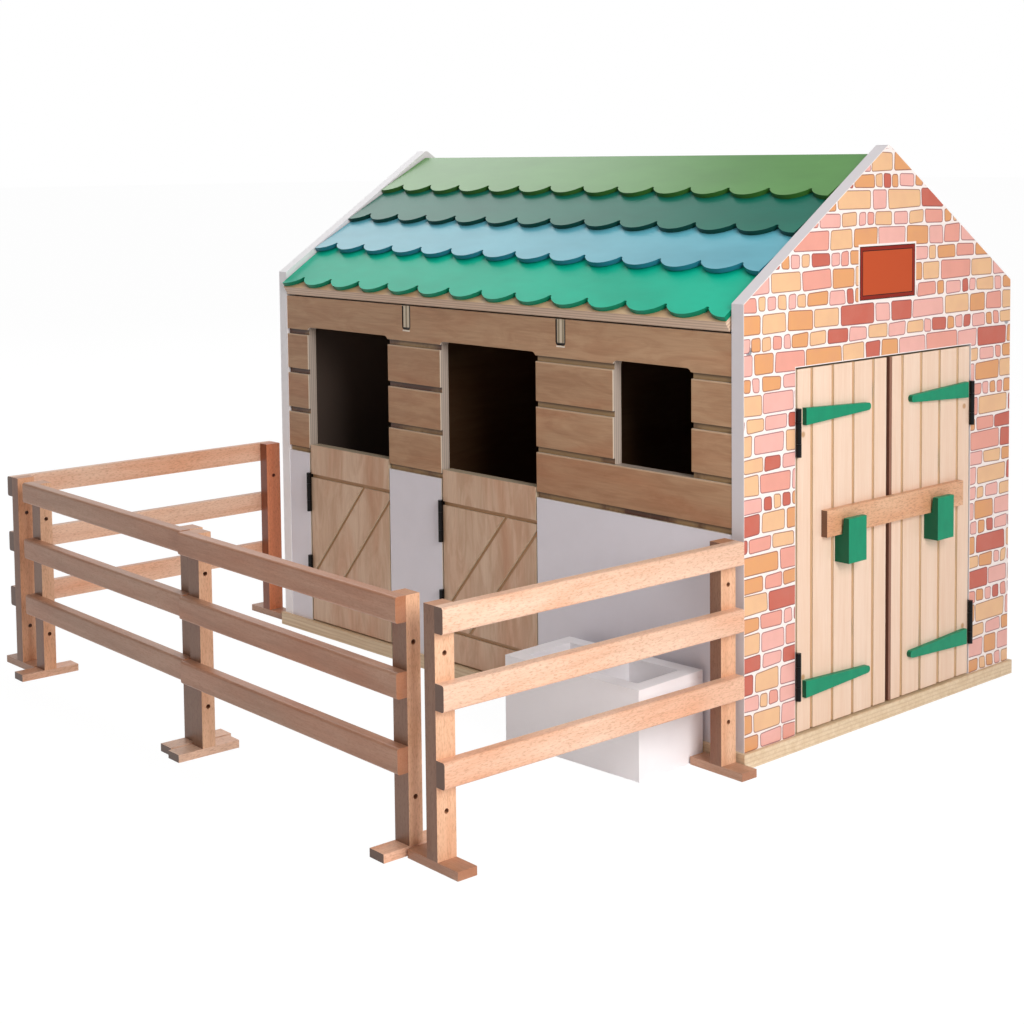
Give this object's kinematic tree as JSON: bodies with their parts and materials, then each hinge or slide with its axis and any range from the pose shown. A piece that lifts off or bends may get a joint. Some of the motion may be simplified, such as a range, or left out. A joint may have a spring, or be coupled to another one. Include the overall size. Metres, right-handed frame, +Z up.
{
  "type": "toy barn with opening doors",
  "caption": "Wooden toy horse barn with a scalloped tile roof, a brick-printed gable with barred double doors, half-height stall doors, loose rail fence panels and a feed trough.",
  "frame": {"origin": "middle of the underside of the base board, on the table", "axes": "+X along the ridge towards the brick gable with the double doors, +Y towards the rear wall, away from the paddock, +Z up"},
  "size_m": [0.6959, 0.6747, 0.4737],
  "materials": {
    "birch_ply": "clear satin birch plywood, white paint on the lower wall and the stall doors",
    "door_wood": "clear satin pale plywood",
    "pine": "bare pine",
    "beech": "clear satin beech",
    "white_paint": "satin white painted board",
    "brick_print": "white board with a printed brick pattern",
    "roof_green": "satin green paint",
    "roof_teal": "satin teal paint",
    "roof_blue": "satin light blue paint",
    "roof_emerald": "satin emerald paint",
    "hook_green": "satin green paint",
    "black_metal": "satin black steel",
    "steel_screw": "zinc plated"
  },
  "bodies": {
    "barn": {"base_board": "pine", "gable_near": "brick_print", "gable_far": "white_paint", "front_wall": "birch_ply", "rear_wall": "birch_ply", "partition_left": "birch_ply", "partition_right": "birch_ply", "battens_near": "pine", "battens_far": "pine", "gable_screws": "steel_screw", "roof_rear_board": "birch_ply", "roof_rear_tiles_green": "roof_green", "roof_rear_tiles_teal": "roof_teal", "roof_rear_tiles_blue": "roof_blue", "roof_rear_tiles_emerald": "roof_emerald", "ridge_hinge_frames": "black_metal", "double_door_frames": "black_metal", "stall_hinge_frames": "black_metal"},
    "roof_front": {"roof_front_board": "birch_ply", "roof_front_tiles_green": "roof_green", "roof_front_tiles_teal": "roof_teal", "roof_front_tiles_blue": "roof_blue", "roof_front_tiles_emerald": "roof_emerald", "ridge_hinge_leaves": "black_metal"},
    "door_left": {"door_left_leaf": "door_wood", "door_left_straps": "hook_green", "door_left_hook": "hook_green", "door_left_hinges": "black_metal"},
    "door_right": {"door_right_leaf": "door_wood", "door_right_straps": "hook_green", "door_right_hook": "hook_green", "door_right_hinges": "black_metal"},
    "locking_bar": {"locking_bar": "beech"},
    "stall_door_left": {"stall_door_left_panel": "birch_ply", "stall_door_left_hinges": "black_metal"},
    "stall_door_right": {"stall_door_right_panel": "birch_ply", "stall_door_right_hinges": "black_metal"},
    "fence_left": {"fence_left_posts": "beech", "fence_left_rails": "beech", "fence_left_feet": "beech"},
    "fence_front_left": {"fence_front_left_posts": "beech", "fence_front_left_rails": "beech", "fence_front_left_feet": "beech"},
    "fence_front_right": {"fence_front_right_posts": "beech", "fence_front_right_rails": "beech", "fence_front_right_feet": "beech"},
    "fence_right": {"fence_right_posts": "beech", "fence_right_rails": "beech", "fence_right_feet": "beech"},
    "trough": {"trough": "white_paint"}
  },
  "joints": [
    {"name": "roof_front_hinge", "type": "hinge", "parent": "barn", "child": "roof_front", "pos_m": [0, 0, 0.46391], "axis": [-1, 0, 0], "range_deg": [0, 90]},
    {"name": "door_left_hinge", "type": "hinge", "parent": "barn", "child": "door_left", "pos_m": [0.3053, -0.1178, 0.155], "axis": [0, 0, -1], "range_deg": [0, 95]},
    {"name": "door_right_hinge", "type": "hinge", "parent": "barn", "child": "door_right", "pos_m": [0.3053, 0.1178, 0.155], "axis": [0, 0, 1], "range_deg": [0, 95]},
    {"name": "locking_bar_lift", "type": "slide", "parent": "barn", "child": "locking_bar", "axis": [0.2853, 0, 0.9585], "range_m": [0, 0.7266]},
    {"name": "stall_door_left_hinge", "type": "hinge", "parent": "barn", "child": "stall_door_left", "pos_m": [-0.2565, -0.1818, 0.0997], "axis": [0, 0, -1], "range_deg": [0, 110]},
    {"name": "stall_door_right_hinge", "type": "hinge", "parent": "barn", "child": "stall_door_right", "pos_m": [-0.0541, -0.1818, 0.0997], "axis": [0, 0, -1], "range_deg": [0, 110]},
    {"name": "fence_left_lift", "type": "slide", "parent": "barn", "child": "fence_left", "axis": [0, 0, 1], "range_m": [0, 0.15]},
    {"name": "fence_front_left_lift", "type": "slide", "parent": "barn", "child": "fence_front_left", "axis": [0, 0, 1], "range_m": [0, 0.15]},
    {"name": "fence_front_right_lift", "type": "slide", "parent": "barn", "child": "fence_front_right", "axis": [0, 0, 1], "range_m": [0, 0.15]},
    {"name": "fence_right_lift", "type": "slide", "parent": "barn", "child": "fence_right", "axis": [0, 0, 1], "range_m": [0, 0.15]},
    {"name": "trough_lift", "type": "slide", "parent": "barn", "child": "trough", "axis": [0, 0, 1], "range_m": [0, 0.15]}
  ],
  "couplings": [
    {"joint": "door_right_hinge", "follows": "door_left_hinge", "ratio": 1},
    {"joint": "locking_bar_lift", "follows": "door_left_hinge", "m_per_rad": 0.43821}
  ]
}
